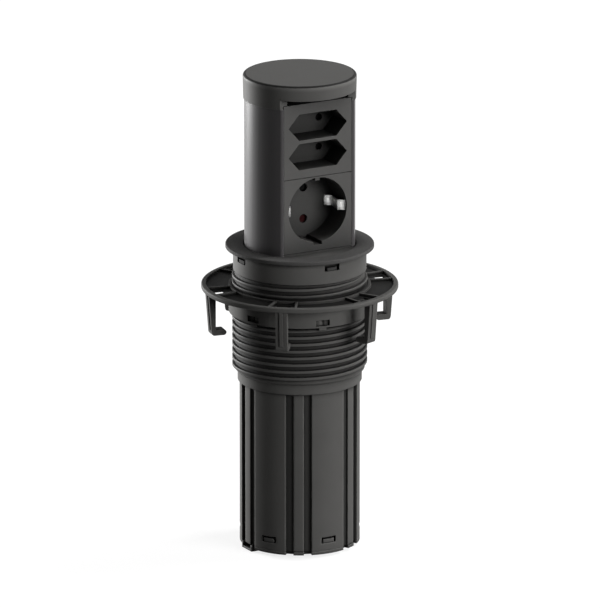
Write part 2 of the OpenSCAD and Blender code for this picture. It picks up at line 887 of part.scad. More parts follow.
// Screws that hold the foot to the tower's bosses, from below
module foot_screws() {
    head_h = 2;
    screw_l = 14;
    floor_z = foot_rise - foot_floor;
    color(steel_tone)
        boss_places()
            translate([0, 0, floor_z]) {
                cylinder(d = screw_d, h = screw_l);
                translate([0, 0, -head_h])
                    difference() {
                        cylinder(d = screw_head_d, h = head_h);
                        translate([0, 0, -over])
                            cylinder(d = screw_d, h = head_h / 2 + over, $fn = 6);
                    }
            }
}

// The block that both socket modules are cut from
module module_block(z0) {
    box_gap = 0.2;
    slab(0, module_w, face_y, plate_y, z0 + plate_gap, z0 + module_h - plate_gap);
    slab(0, module_box_w, face_y + over, rear_y, z0 + box_gap, z0 + module_h - box_gap);
}

module cover_screw_places(z0) {
    for (s = [-1, 1])
        translate([s * cover_screw_x, 0, z0 + module_h / 2 + s * cover_screw_z])
            children();
}

// The rear cover behind a module, before its contact chambers are cut
module rear_block(z0) {
    inset = 0.8;
    difference() {
        slab(0, module_box_w - 2 * inset, rear_y, back_y, z0 + inset, z0 + module_h - inset);
        cover_screw_places(z0)
            rod_y(screw_d / 2 + fit_gap, rear_y - over, back_y + over);
    }
}

// The blind holes in a module for its rear cover's screws
module cover_screw_holes(z0) {
    cover_screw_places(z0)
        rod_y(screw_d / 2 + fit_gap, rear_y - cover_screw_grip - over, rear_y + over);
}

// One flat recess: a long hexagon
module flat_outline() {
    polygon([
        [flat_l / 2, 0], [flat_straight / 2, flat_h / 2], [-flat_straight / 2, flat_h / 2],
        [-flat_l / 2, 0], [-flat_straight / 2, -flat_h / 2], [flat_straight / 2, -flat_h / 2]
    ]);
}

// Upper module: two flat two-pole sockets, one above the other
module flat_module() {
    pocket_w = flat_shutter_w + flat_shutter_travel + 2 * shutter_gap;
    color(graphite)
        difference() {
            module_block(module_z1);
            for (z = flat_rows) {
                translate([0, 0, z])
                    along_y(face_y - over, flat_floor_y)
                        flat_outline();
                for (s = [-1, 1])
                    rod_y(flat_pin_d / 2, flat_floor_y - over, cavity_y + over, s * half_pin, z);
                slab(flat_shutter_travel / 2, pocket_w, cavity_y, rear_y + over,
                    z - flat_shutter_h / 2 - shutter_gap, z + flat_shutter_h / 2 + shutter_gap);
            }
            cover_screw_holes(module_z1);
        }
}

// Rear cover of the upper module, with the chambers of the two contact bars
module flat_rear_cover() {
    color(soot)
        difference() {
            rear_block(module_z1);
            for (s = [-1, 1]) {
                for (z = flat_rows)
                    rod_y(bar_sleeve_r + fit_gap, rear_y - over, back_y - over, s * half_pin, z);
                slab(s * half_pin, bar_w + 2 * fit_gap, back_y - over - bar_t, back_y + over,
                    flat_rows[0] - bar_w, flat_rows[1] + bar_w);
            }
        }
}

// A contact bar joins the sleeves of two pins that lie one above the other
module flat_bar(x) {
    sleeve_y = rear_y + contact_set;
    bar_y = back_y - over - bar_t + fit_gap;
    color(brass_tone)
        difference() {
            union() {
                for (z = flat_rows)
                    rod_y(bar_sleeve_r, sleeve_y, bar_y + bar_t / 2, x, z);
                slab(x, bar_w, bar_y, bar_y + bar_t,
                    flat_rows[0] - bar_sleeve_r, flat_rows[1] + bar_sleeve_r);
            }
            for (z = flat_rows) {
                rod_y(flat_pin_d / 2, sleeve_y - over, bar_y - over, x, z);
                slab(x, contact_slit, sleeve_y - over, bar_y - over, z - bar_w, z + bar_w);
            }
        }
}

module flat_bar_left() {
    flat_bar(-half_pin);
}

module flat_bar_right() {
    flat_bar(half_pin);
}

// A flat socket's shutter: a plate that slides sideways until its holes line up with the pins
module flat_shutter(z) {
    y0 = cavity_y + shutter_gap;
    color(soot)
        difference() {
            slab(0, flat_shutter_w, y0, y0 + shutter_t, z - flat_shutter_h / 2, z + flat_shutter_h / 2);
            for (s = [-1, 1])
                rod_y(flat_pin_d / 2 + fit_gap, y0 - over, y0 + shutter_t + over,
                    s * half_pin - flat_shutter_travel, z);
        }
}

module flat_shutter_upper() {
    flat_shutter(flat_rows[1]);
}

module flat_shutter_lower() {
    flat_shutter(flat_rows[0]);
}

// Lower module: a round earthed socket
module earthed_module() {
    clip_slot_w = clip_w + 2 * clip_gap;
    color(graphite)
        difference() {
            union() {
                difference() {
                    module_block(module_z0);
                    rod_y(recess_r, face_y - over, recess_floor_y, 0, recess_z);
                    slab(0, notch_w, face_y - over, recess_floor_y,
                        recess_z - recess_r - guide_depth, recess_z);
                    rod_y(shutter_pocket_r, cavity_y, rear_y + over, 0, recess_z);
                }
                slab(0, guide_w, face_y + over / 2, recess_floor_y + over / 2,
                    recess_z + recess_r - guide_depth, recess_z + recess_r + over / 2);
                rod_y(pivot_r, cavity_y - over / 2, rear_y - shutter_gap, 0, recess_z);
            }
            for (z = earthed_rows)
                rod_y(earthed_pin_d / 2, recess_floor_y - over, cavity_y + over, 0, z);
            for (s = [-1, 1]) {
                slab(s * (clip_x + clip_t / 2), clip_t + 2 * clip_gap, recess_floor_y - over, rear_y + over,
                    recess_z - clip_slot_w / 2, recess_z + clip_slot_w / 2);
                slab(s * recess_r, 2 * clip_t, face_y + over, recess_floor_y,
                    recess_z - clip_slot_w / 2, recess_z + clip_slot_w / 2);
            }
            cover_screw_holes(module_z0);
        }
}

// Rear cover of the lower module, with two contact chambers and slots for the earth clip
module earthed_rear_cover() {
    color(soot)
        difference() {
            rear_block(module_z0);
            for (z = earthed_rows)
                rod_y(clamp_r + fit_gap, rear_y - over, rear_y + clamp_l + fit_gap, 0, z);
            for (s = [-1, 1])
                slab(s * (clip_x + clip_t / 2), clip_t + 2 * clip_gap, rear_y - over, back_y + over,
                    recess_z - clip_w / 2 - clip_gap, recess_z + clip_w / 2 + clip_gap);
        }
}

// The earthed socket's shutter: two wings on a pivot, which swing clear of the pin holes
module earthed_shutter() {
    y0 = cavity_y + shutter_gap;
    y1 = y0 + shutter_t;
    arm_w = 2 * wing_r - 2 * wing_lap;
    hub_wall = 1.8;
    color(shutter_red)
        difference() {
            union() {
                rod_y(pivot_r + hub_wall, y0, y1, 0, recess_z);
                for (z = earthed_rows)
                    rod_y(wing_r, y0, y1, 0, z);
                slab(0, arm_w, y0, y1, earthed_rows[0], earthed_rows[1]);
            }
            rod_y(pivot_r + pivot_gap, y0 - over, y1 + over, 0, recess_z);
        }
}

// Earth clip: one strap behind the cover, with two sprung arms that bow into the recess
module earth_clip() {
    tip_inset = 1.9;
    mouth_ramp = 2.4;
    mouth_reach = 3.9;
    heel_reach = 2.1;
    heel_rise = 3.2;
    tip_y = face_y + tip_inset;
    strap_y = back_y + fit_gap;
    arm = [
        [recess_r - clip_t + clip_gap / 2, tip_y], [recess_r - mouth_reach, tip_y + mouth_ramp],
        [recess_r - heel_reach, recess_floor_y - heel_rise], [clip_x, recess_floor_y - clip_gap],
        [clip_x, strap_y]
    ];
    tail = len(arm) - 1;
    outer = [for (k = [tail:-1:0]) arm[k] + [clip_t, k == tail ? clip_t : 0]];
    inner_left = [for (k = [tail:-1:0]) [-arm[k][0], arm[k][1]]];
    outer_left = [for (k = [tail:-1:0]) [-outer[k][0], outer[k][1]]];
    color(nickel)
        translate([0, 0, recess_z - clip_w / 2])
            linear_extrude(clip_w)
                polygon(concat(arm, inner_left, outer_left, outer));
}

// A split sleeve that grips one pin of the earthed socket
module earthed_clamp(z) {
    y0 = rear_y + contact_set;
    y1 = rear_y + clamp_l;
    color(brass_tone)
        difference() {
            rod_y(clamp_r, y0, y1, 0, z);
            rod_y(earthed_pin_d / 2, y0 - over, y1 - over, 0, z);
            slab(0, contact_slit, y0 - over, y1 - over, z - 2 * clamp_r, z + 2 * clamp_r);
        }
}

module earthed_clamp_upper() {
    earthed_clamp(earthed_rows[1]);
}

module earthed_clamp_lower() {
    earthed_clamp(earthed_rows[0]);
}

// Screws that hold the two rear covers to their modules
module cover_screws() {
    head_h = 1.8;
    slot = 0.8;
    color(steel_tone)
        for (z0 = [module_z0, module_z1])
            cover_screw_places(z0) {
                rod_y(screw_d / 2, rear_y - cover_screw_grip, back_y + over / 2);
                difference() {
                    rod_y(screw_head_d / 2, back_y, back_y + head_h);
                    slab(0, slot, back_y + head_h / 2, back_y + head_h + over, -screw_head_d, screw_head_d);
                }
            }
}

// Places of the three poles of the terminal block
module terminal_places() {
    for (k = [-1:1])
        translate([k * terminal_pitch, terminal_y + terminal_d / 2, terminal_z])
            children();
}

// Terminal block: stands on the foot, where the supply cable ends
module terminal_block() {
    color(soot)
        difference() {
            slab(0, terminal_w, terminal_y, terminal_y + terminal_d, terminal_z, terminal_z + terminal_h);
            terminal_places() {
                translate([0, 0, terminal_h / 2])
                    cylinder(d = terminal_hole_d, h = terminal_h);
                rod_y(screw_head_d / 2, -terminal_d, 0, 0, terminal_screw_z);
            }
        }
}

// Brass clamp in each pole
module terminal_clamps() {
    clamp_floor = 2;
    clamp_h = terminal_h / 2 - over;
    color(brass_tone)
        terminal_places()
            difference() {
                translate([0, 0, terminal_h / 2])
                    cylinder(d = terminal_hole_d - 2 * fit_gap, h = clamp_h);
                translate([0, 0, terminal_h / 2 + clamp_floor])
                    cylinder(d = wire_d, h = terminal_h);
                rod_y(screw_d / 2 + fit_gap, -terminal_d, 0, 0, terminal_screw_z);
            }
}

// Clamping screw of each pole
module terminal_screws() {
    slot = 0.6;
    head_y = -terminal_d / 2 + slot;
    color(steel_tone)
        terminal_places()
            difference() {
                rod_y(screw_d / 2, head_y, -slot, 0, terminal_screw_z);
                slab(0, slot, -terminal_d, head_y + slot,
                    terminal_screw_z - screw_d, terminal_screw_z + screw_d);
            }
}

bezel_flange();
threaded_sleeve();
guide_tube();
base_cap();
lock_nut();
tower_shell();
top_cap();
foot_guide();
friction_ring();
foot_screws();
flat_module();
flat_rear_cover();
flat_shutter_upper();
flat_shutter_lower();
flat_bar_left();
flat_bar_right();
earthed_module();
earthed_rear_cover();
earthed_shutter();
earth_clip();
earthed_clamp_upper();
earthed_clamp_lower();
cover_screws();
terminal_block();
terminal_clamps();
terminal_screws();
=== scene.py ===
"""Dressed model of a pop up desk socket: finishes, thread and finger lip, and the studio round it."""

import logging
import math
from dataclasses import dataclass
from enum import Enum
from functools import cache
from typing import Any, Mapping, Optional, Sequence, Union

import bpy
import numpy as np
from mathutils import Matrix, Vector


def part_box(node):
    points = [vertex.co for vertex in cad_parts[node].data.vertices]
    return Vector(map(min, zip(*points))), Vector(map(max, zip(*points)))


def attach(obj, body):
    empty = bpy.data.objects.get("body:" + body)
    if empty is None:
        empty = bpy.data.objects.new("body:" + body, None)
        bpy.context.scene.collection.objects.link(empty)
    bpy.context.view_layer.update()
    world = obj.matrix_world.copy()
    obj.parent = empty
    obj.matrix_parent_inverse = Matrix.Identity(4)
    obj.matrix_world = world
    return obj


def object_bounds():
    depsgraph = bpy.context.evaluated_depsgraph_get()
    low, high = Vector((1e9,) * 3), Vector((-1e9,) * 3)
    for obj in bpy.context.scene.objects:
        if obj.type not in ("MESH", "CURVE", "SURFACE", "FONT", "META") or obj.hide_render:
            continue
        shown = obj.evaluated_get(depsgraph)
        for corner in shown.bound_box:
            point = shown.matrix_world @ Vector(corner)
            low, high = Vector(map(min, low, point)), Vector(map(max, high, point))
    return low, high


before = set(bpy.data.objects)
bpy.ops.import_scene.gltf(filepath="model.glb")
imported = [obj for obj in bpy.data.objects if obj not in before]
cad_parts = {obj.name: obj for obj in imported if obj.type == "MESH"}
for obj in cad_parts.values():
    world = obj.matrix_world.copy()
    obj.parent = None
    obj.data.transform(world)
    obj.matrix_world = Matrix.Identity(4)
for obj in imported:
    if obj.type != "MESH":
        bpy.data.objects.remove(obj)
CAD_LOW, CAD_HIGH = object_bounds()

LOG = logging.getLogger("desk_socket")
MM = 0.001
# Height of the underside of the cap's disc, in millimetres
DISC_Z = 97.4
OPAQUE = 1.0
WHITE = (1.0, 1.0, 1.0, OPAQUE)

Colour = tuple[float, float, float]
Rgba = tuple[float, float, float, float]
# What a socket takes: a wire, a number or a few numbers
Plug = Union["Wire", float, Sequence[float]]


class Wire:
    """One output of a shader node, on which Python's operators add Math nodes."""

    def __init__(self, tree: "ShaderTree", source: bpy.types.Node, output: Union[str, int]) -> None:
        """Keeps the tree, the node and the name or number of its output."""
        self.tree = tree
        self.source = source
        self.output = output

    @property
    def socket(self) -> bpy.types.NodeSocket:
        """The output's socket."""
        return self.source.outputs[self.output]

    def _math(self, operation: str, first: Plug, second: Plug) -> "Wire":
        """Adds one Math node and returns its output."""
        return self.tree.node("ShaderNodeMath", {"operation": operation}, {0: first, 1: second})

    def __add__(self, other: Plug) -> "Wire":
        """Sum."""
        return self._math("ADD", self, other)

    __radd__ = __add__

    def __mul__(self, other: Plug) -> "Wire":
        """Product."""
        return self._math("MULTIPLY", self, other)

    __rmul__ = __mul__

    def __sub__(self, other: Plug) -> "Wire":
        """Difference."""
        return self._math("SUBTRACT", self, other)

    def __rsub__(self, other: Plug) -> "Wire":
        """Difference, with this value taken away."""
        return self._math("SUBTRACT", other, self)

    def __pow__(self, other: Plug) -> "Wire":
        """Power."""
        return self._math("POWER", self, other)

    def clip(self, low: float = 0.0, high: float = 1.0) -> "Wire":
        """This value held between two limits."""
        return self._math("MINIMUM", self._math("MAXIMUM", self, low), high)

    def above(self, level: float, slope: float) -> "Wire":
        """0 up to a level, and from there up to 1, rising by slope per unit."""
        return ((self - level) * slope).clip()

    def below(self, level: float, slope: float) -> "Wire":
        """0 from a level on, and before it up to 1, falling by slope per unit."""
        return ((level - self) * slope).clip()

    def swing(self, width: float) -> "Wire":
        """A noise from 0 to 1, turned into a swing of this width about 0."""
        return (self - 0.5) * width


class ShaderTree:
    """The node tree of one material or world."""

    NOISE_ROUGHNESS = 0.55
    FINE_DETAIL = 3.0
    EDGE_SAMPLES = 6
    EDGE_GAIN = 6.0
    # Samples of the ambient occlusion that paints shade in corners
    CORNER_SAMPLES = 8
    # Numbers of the Mix node's colour sockets, whose names its other sockets share
    MIX_FIRST = 6
    MIX_SECOND = 7
    MIX_RESULT = 2

    def __init__(self, owner: Union[bpy.types.Material, bpy.types.World]) -> None:
        """Empties the owner's tree.

        Args:
            owner: A material or a world.
        """
        owner.use_nodes = True
        self.tree = owner.node_tree
        self.tree.nodes.clear()

    def node(
        self,
        kind: str,
        settings: Mapping[str, Any],
        sockets: Mapping[Union[str, int], Plug],
        output: Union[str, int] = 0,
    ) -> Wire:
        """Adds a node, sets it up and wires it.

        Args:
            kind: Blender's name of the node type.
            settings: Properties of the node, set before its sockets.
            sockets: Values or wires, by the socket's name or number.
            output: Name or number of the output that is returned.

        Returns:
            The wire from that output.
        """
        made = self.tree.nodes.new(kind)
        for key, value in settings.items():
            setattr(made, key, value)
        for key, value in sockets.items():
            if isinstance(value, Wire):
                self.tree.links.new(value.socket, made.inputs[key])
            else:
                made.inputs[key].default_value = value
        return Wire(self, made, output)

    def place(self, stretch: Sequence[float] = (1.0, 1.0, 1.0)) -> Wire:
        """Object coordinates in millimetres.

        Args:
            stretch: Factor along each axis.

        Returns:
            The stretched coordinates, as a vector.
        """
        spot = self.node("ShaderNodeTexCoord", {}, {}, "Object")
        size = tuple(s / MM for s in stretch)
        return self.node("ShaderNodeMapping", {}, {"Vector": spot, "Scale": size})

    def height(self) -> Wire:
        """Height above the desk in millimetres."""
        return self.node("ShaderNodeSeparateXYZ", {}, {"Vector": self.place()}, "Z")

    def radius(self) -> Wire:
        """Distance from the object's axis in millimetres."""
        flat = self.place((1.0, 1.0, 0.0))
        return self.node("ShaderNodeVectorMath", {"operation": "LENGTH"}, {0: flat}, "Value")

    def noise(self, at: Wire, grain: float, detail: float = 2.0) -> Wire:
        """Smooth noise from 0 to 1.

        Args:
            at: Coordinates in millimetres.
            grain: Rough size of the lumps in millimetres.
            detail: Number of finer layers.

        Returns:
            The noise's value.
        """
        layers = {"Detail": detail, "Roughness": self.NOISE_ROUGHNESS}
        return self.node("ShaderNodeTexNoise", {}, {"Vector": at, "Scale": 1.0 / grain, **layers})

    def blend(self, share: Plug, first: Plug, second: Plug) -> Wire:
        """Colour between two colours, each a wire or four numbers."""
        sockets = {0: share, self.MIX_FIRST: first, self.MIX_SECOND: second}
        return self.node("ShaderNodeMix", {"data_type": "RGBA"}, sockets, self.MIX_RESULT)

    def bump(self, relief: Wire, strength: float, depth: float, normal: Optional[Wire] = None) -> Wire:
        """Tilts a normal by a relief.

        Args:
            relief: Height of the relief, from 0 to 1.
            strength: Share of the tilt that shows.
            depth: Depth of the relief in millimetres.
            normal: The normal that is tilted, if it isn't the face's own.

        Returns:
            The tilted normal.
        """
        sockets = {"Strength": strength, "Distance": depth * MM, "Height": relief}
        if normal is not None:
            sockets["Normal"] = normal
        return self.node("ShaderNodeBump", {}, sockets)

    def soft_edges(self, radius: Plug) -> tuple[Wire, Wire]:
        """Rounds the edges of a solid for the light.

        Args:
            radius: Radius of the rounding in millimetres.

        Returns:
            The rounded normal, and a mask that is 1 on the edges and 0 on the faces.
        """
        rounded = self.node("ShaderNodeBevel", {"samples": self.EDGE_SAMPLES}, {"Radius": radius * MM})
        true = self.node("ShaderNodeNewGeometry", {}, {}, "Normal")
        both = {0: rounded, 1: true}
        along = self.node("ShaderNodeVectorMath", {"operation": "DOT_PRODUCT"}, both, "Value")
        return rounded, along.below(1.0, self.EDGE_GAIN)

    def unshaded_share(self, reach: float, sharp: Plug) -> Wire:
        """Share of the colour kept clear of painted shade: 1 on open faces, falling to 0 in corners and
        cavities.

        Args:
            reach: How far off a wall still casts painted shade on a point, in millimetres.
            sharp: Power that the open share is raised to.

        Returns:
            The mask.
        """
        settings = {"samples": self.CORNER_SAMPLES}
        free = self.node("ShaderNodeAmbientOcclusion", settings, {"Distance": reach * MM}, "AO")
        return free**sharp

    def finish(self, sockets: Mapping[str, Plug]) -> None:
        """Ends the tree in a Principled BSDF with these sockets."""
        skin = self.node("ShaderNodeBsdfPrincipled", {}, sockets)
        self.node("ShaderNodeOutputMaterial", {}, {"Surface": skin})


@dataclass(frozen=True)
class Finish:
    """A finish of this object, made once and shared by its pieces.

    Attributes:
        name: Name of its material.
        tint: Its colour.
        rough: Middle roughness.
        smoothest: Least roughness.
        relief: Share of the fine relief's tilt that shows.
        dark: Brightness of the colour where its clouds are darkest.
        light: Brightness of the colour where its clouds are lightest.
    """

    name: str
    tint: Colour
    rough: float
    smoothest: float
    relief: float
    dark: float
    light: float

    @cache
    def material(self) -> bpy.types.Material:
        """The finish as a material.

        Returns:
            The material, made on the first call.
        """
        made = bpy.data.materials.new(self.name)
        self.paint(ShaderTree(made))
        return made

    def paint(self, tree: ShaderTree) -> None:
        """Draws the finish into a shader tree."""
        raise NotImplementedError

    def shade(self, factor: float) -> Rgba:
        """The finish's colour, made lighter or darker."""
        return (*(min(1.0, c * factor) for c in self.tint), OPAQUE)

    def uneven(self, tree: ShaderTree, cloud: Wire) -> Wire:
        """The finish's colour, from its dark to its light one with the clouds."""
        return tree.blend(cloud, self.shade(self.dark), self.shade(self.light))


@dataclass(frozen=True)
class MouldedPlastic(Finish):
    """Satin moulding with a spark-eroded grain, faint flow clouds, edges lightened as wear and painted
    highlight, and painted shade in corners.

    Attributes:
        grain: Size of the grain's lumps in millimetres.
        depth: Depth of the grain in millimetres.
        edge: Radius of the soft edges in millimetres.
        rub_and_sheen: Brightness of the edges, lightened as wear and painted highlight.
        gloss: Specular level.
        reach: Reach of the painted shade in corners, in millimetres.
        sharp: How fast the painted shade deepens in corners.
        deep: Brightness of the painted shade in the deepest corners.
        cloud: Size of the flow clouds in millimetres.
        rub_and_sheen_least: Share of the edges' wear and painted highlight where the clouds are
            darkest.
        rub_and_sheen_more: What the clouds add to that share.
        cloud_rough: Swing of the roughness with the clouds.
        grain_rough: Swing of the roughness with the grain.
        edge_rough: What the edges take off the roughness.
    """

    rough: float = 0.55
    smoothest: float = 0.05
    relief: float = 0.6
    dark: float = 0.9
    light: float = 1.1
    grain: float = 0.35
    depth: float = 0.02
    edge: float = 0.35
    rub_and_sheen: float = 1.7
    gloss: float = 0.03
    reach: float = 5.0
    sharp: float = 1.6
    deep: float = 0.1
    cloud: float = 14.0
    rub_and_sheen_least: float = 0.35
    rub_and_sheen_more: float = 0.9
    cloud_rough: float = 0.14
    grain_rough: float = 0.1
    edge_rough: float = 0.08

    def rounding(self, tree: ShaderTree) -> Plug:
        """Radius of the soft edges in millimetres."""
        return self.edge

    def body(self, tree: ShaderTree, cloud: Wire, worn_and_sheen: Wire) -> Wire:
        """The moulding's own colour, a little uneven, and a lighter one on its edges as wear and
        painted highlight.
        """
        plain = self.uneven(tree, cloud)
        return tree.blend(worn_and_sheen, plain, self.shade(self.rub_and_sheen))

    def power(self, tree: ShaderTree) -> Plug:
        """How fast the painted shade deepens in corners."""
        return self.sharp

    def paint(self, tree: ShaderTree) -> None:
        """Clouds vary the colour and the gloss, a fine noise makes the grain, edges are lightened as
        wear and painted highlight, and corners are darkened as painted shade.

        Args:
            tree: The tree that the finish is drawn into.
        """
        at = tree.place()
        cloud = tree.noise(at, self.cloud, tree.FINE_DETAIL)
        pits = tree.noise(at, self.grain, tree.FINE_DETAIL)
        rounded, edge = tree.soft_edges(self.rounding(tree))
        # Edges are lightened as wear and painted highlight, more where the clouds are light
        worn_and_sheen = (edge * (self.rub_and_sheen_least + cloud * self.rub_and_sheen_more)).clip()
        # Painted shade: an ambient occlusion mask darkens corners and cavities towards the deep colour
        unshaded = tree.unshaded_share(self.reach, self.power(tree))
        rough = self.rough + cloud.swing(self.cloud_rough) + pits.swing(self.grain_rough)
        tree.finish(
            {
                "Base Color": tree.blend(unshaded, self.shade(self.deep), self.body(tree, cloud, worn_and_sheen)),
                "Roughness": (rough - edge * self.edge_rough).clip(self.smoothest),
                "Specular IOR Level": self.gloss,
                "Normal": tree.bump(pits, self.relief, self.depth, rounded),
            }
        )


@dataclass(frozen=True)
class TwoToned(MouldedPlastic):
    """A moulding that is nearly black above a height and of its own colour below it.

    Attributes:
        black: The colour above the split.
        split: Height of the split in millimetres.
        crisp: How fast one colour takes over from the other, per millimetre.
    """

    black: Colour = (0.0015, 0.0015, 0.0015)
    split: float = 27.0
    crisp: float = 4.0

    def body(self, tree: ShaderTree, cloud: Wire, worn_and_sheen: Wire) -> Wire:
        """The plain moulding's colour below the split, and the black one above it."""
        upper = tree.height().above(self.split, self.crisp)
        return tree.blend(upper, super().body(tree, cloud, worn_and_sheen), (*self.black, OPAQUE))


@dataclass(frozen=True)
class Webbed(MouldedPlastic):
    """A moulding whose sunk web, between two radii and two heights, is darkened as painted shade.

    Attributes:
        inner_r: Inner radius of the web in millimetres.
        outer_r: Outer radius of the web in millimetres.
        low: Height of the web's underside in millimetres.
        high: Height at which the web's painted shade ends, in millimetres.
        crisp: How fast the painted shade starts, per millimetre.
        fade: How fast the painted shade ends towards the top, per millimetre.
        web: Brightness of the painted shade on the web.
    """

    inner_r: float = 42.0
    outer_r: float = 55.3
    low: float = -24.6
    high: float = -22.9
    crisp: float = 4.0
    fade: float = 1.5
    web: float = 0.16

    def body(self, tree: ShaderTree, cloud: Wire, worn_and_sheen: Wire) -> Wire:
        """The plain moulding's colour, and a painted shade on the web.

        Args:
            tree: The tree that the finish is drawn into.
            cloud: The flow clouds.
            worn_and_sheen: Mask of the edges lightened as wear and painted highlight.

        Returns:
            The colour.
        """
        radius, height = tree.radius(), tree.height()
        # Painted shade on the nut's web, between its radii and heights
        across = radius.above(self.inner_r, self.crisp) * radius.below(self.outer_r, self.crisp)
        along = height.above(self.low, self.crisp) * height.below(self.high, self.fade)
        return tree.blend(across * along, super().body(tree, cloud, worn_and_sheen), self.shade(self.web))


@dataclass(frozen=True)
class Ringed(MouldedPlastic):
    """The cap's moulding, with a painted shade line round its top edge and a painted highlight band
    under that line.

    Attributes:
        line_in: Inner radius of the line and the band, in millimetres.
        line_out: Outer radius of the line in millimetres.
        line_z: Least height of the line in millimetres.
        band_z: Least height of the band in millimetres.
        seam_z: Height at which the disc runs on into its lip, in millimetres.
        line_rise: How fast the line starts from within, per millimetre.
        line_fall: How fast the line ends outside, per millimetre.
        line_crisp: How fast the line starts from below, per millimetre.
        band_rise: How fast the band starts from within, per millimetre.
        band_crisp: How fast the band starts from below, per millimetre.
        line: Brightness of the painted shade line.
        band: Brightness of the painted highlight band.
    """

    line_in: float = 31.4
    line_out: float = 33.25
    line_z: float = 103.3
    band_z: float = 101.6
    seam_z: float = DISC_Z
    line_rise: float = 3.0
    line_fall: float = 6.0
    line_crisp: float = 4.0
    band_rise: float = 2.0
    band_crisp: float = 0.7
    line: float = 0.2
    band: float = 1.35

    def rounding(self, tree: ShaderTree) -> Plug:
        """The plain radius, and none within a millimetre of the seam."""
        off = tree.height() - self.seam_z
        return self.edge * (off * off - 1.0).clip()

    def body(self, tree: ShaderTree, cloud: Wire, worn_and_sheen: Wire) -> Wire:
        """The plain moulding's colour, a painted highlight on the band and a painted shade on the line.

        Args:
            tree: The tree that the finish is drawn into.
            cloud: The flow clouds.
            worn_and_sheen: Mask of the edges lightened as wear and painted highlight.

        Returns:
            The colour.
        """
        radius, height = tree.radius(), tree.height()
        # Painted shade line round the top edge
        ring = radius.above(self.line_in, self.line_rise) * radius.below(self.line_out, self.line_fall)
        ring = ring * height.above(self.line_z, self.line_crisp)
        # Painted highlight band under the line
        painted_highlight_band = height.above(self.band_z, self.band_crisp) * radius.above(self.line_in, self.band_rise)
        highlighted = tree.blend(painted_highlight_band, super().body(tree, cloud, worn_and_sheen), self.shade(self.band))
        return tree.blend(ring, highlighted, self.shade(self.line))


@dataclass(frozen=True)
class Threaded(MouldedPlastic):
    """A moulding with a thread, whose grooves get a deep painted shade, and with channels below it
    whose floors are darkened as painted shade.

    Attributes:
        low: Height of the thread's lower end in millimetres.
        high: Height of the thread's upper end in millimetres.
        groove: How fast the painted shade deepens in the thread's grooves.
        channel_r: Radius that the channels' floors lie within, in millimetres.
        channel_z: Height of the channels' upper end in millimetres.
        channel_edge: Radius of the channels' soft edges in millimetres.
        channel_shade: Brightness of the painted shade on the channels' floors.
        crisp: How fast one stretch takes over from the next, per millimetre of height.
        floor_crisp: How fast the floors' painted shade starts, per millimetre of radius.
    """

    low: float = -75.0
    high: float = -14.0
    groove: float = 4.5
    channel_r: float = 34.6
    channel_z: float = -81.0
    channel_edge: float = 1.4
    channel_shade: float = 0.5
    crisp: float = 2.0
    floor_crisp: float = 2.5

    def _along_channels(self, tree: ShaderTree) -> Wire:
        """1 along the channels, and 0 above them."""
        return tree.height().below(self.channel_z, self.crisp)

    def rounding(self, tree: ShaderTree) -> Plug:
        """The plain radius, and a wider one along the channels."""
        return self.edge + self._along_channels(tree) * (self.channel_edge - self.edge)

    def body(self, tree: ShaderTree, cloud: Wire, worn_and_sheen: Wire) -> Wire:
        """The plain moulding's colour, and a darker one on the floors of the channels as painted shade.
        """
        # Painted shade on the channels' floors
        sunk = tree.radius().below(self.channel_r, self.floor_crisp) * self._along_channels(tree)
        return tree.blend(sunk, super().body(tree, cloud, worn_and_sheen), self.shade(self.channel_shade))

    def power(self, tree: ShaderTree) -> Plug:
        """The plain fall-off of the painted shade, and a steep one along the thread.

        Args:
            tree: The tree that the finish is drawn into.

        Returns:
            The power that the open share is raised to.
        """
        # The thread's grooves get a steeper painted shade
        height = tree.height()
        inside = height.above(self.low, self.crisp) * height.below(self.high, self.crisp)
        return self.sharp + inside * (self.groove - self.sharp)


@dataclass(frozen=True)
class Anodised(Finish):
    """Dark anodised extrusion, with fine drawn lines along Z.

    Attributes:
        gloss: Specular level.
        edge: Radius of the soft edges in millimetres.
        rub_and_sheen: Brightness of the edges, lightened as wear and painted highlight.
        line: Width of the drawn lines in millimetres.
        line_stretch: Factor that draws the lines out along Z.
        line_depth: Depth of the lines in millimetres.
        line_rough: Swing of the roughness with the lines.
        cloud: Size of the tone's clouds in millimetres.
    """

    rough: float = 0.34
    smoothest: float = 0.05
    relief: float = 0.25
    dark: float = 0.85
    light: float = 1.15
    gloss: float = 0.1
    edge: float = 0.6
    rub_and_sheen: float = 2.8
    line: float = 0.5
    line_stretch: float = 0.01
    line_depth: float = 0.01
    line_rough: float = 0.16
    cloud: float = 22.0

    def paint(self, tree: ShaderTree) -> None:
        """A noise stretched along Z gives the drawn lines, a wide one the tone, and edges are lightened
        as wear and painted highlight.

        Args:
            tree: The tree that the finish is drawn into.
        """
        lines = tree.noise(tree.place((1.0, 1.0, self.line_stretch)), self.line)
        cloud = tree.noise(tree.place(), self.cloud)
        rounded, edge = tree.soft_edges(self.edge)
        body = self.uneven(tree, (lines * 0.5 + cloud * 0.5).clip())
        tree.finish(
            {
                # Edges lightened as wear and painted highlight
                "Base Color": tree.blend(edge, body, self.shade(self.rub_and_sheen)),
                "Roughness": (self.rough + lines.swing(self.line_rough)).clip(self.smoothest),
                "Specular IOR Level": self.gloss,
                "Normal": tree.bump(lines, self.relief, self.line_depth, rounded),
            }
        )


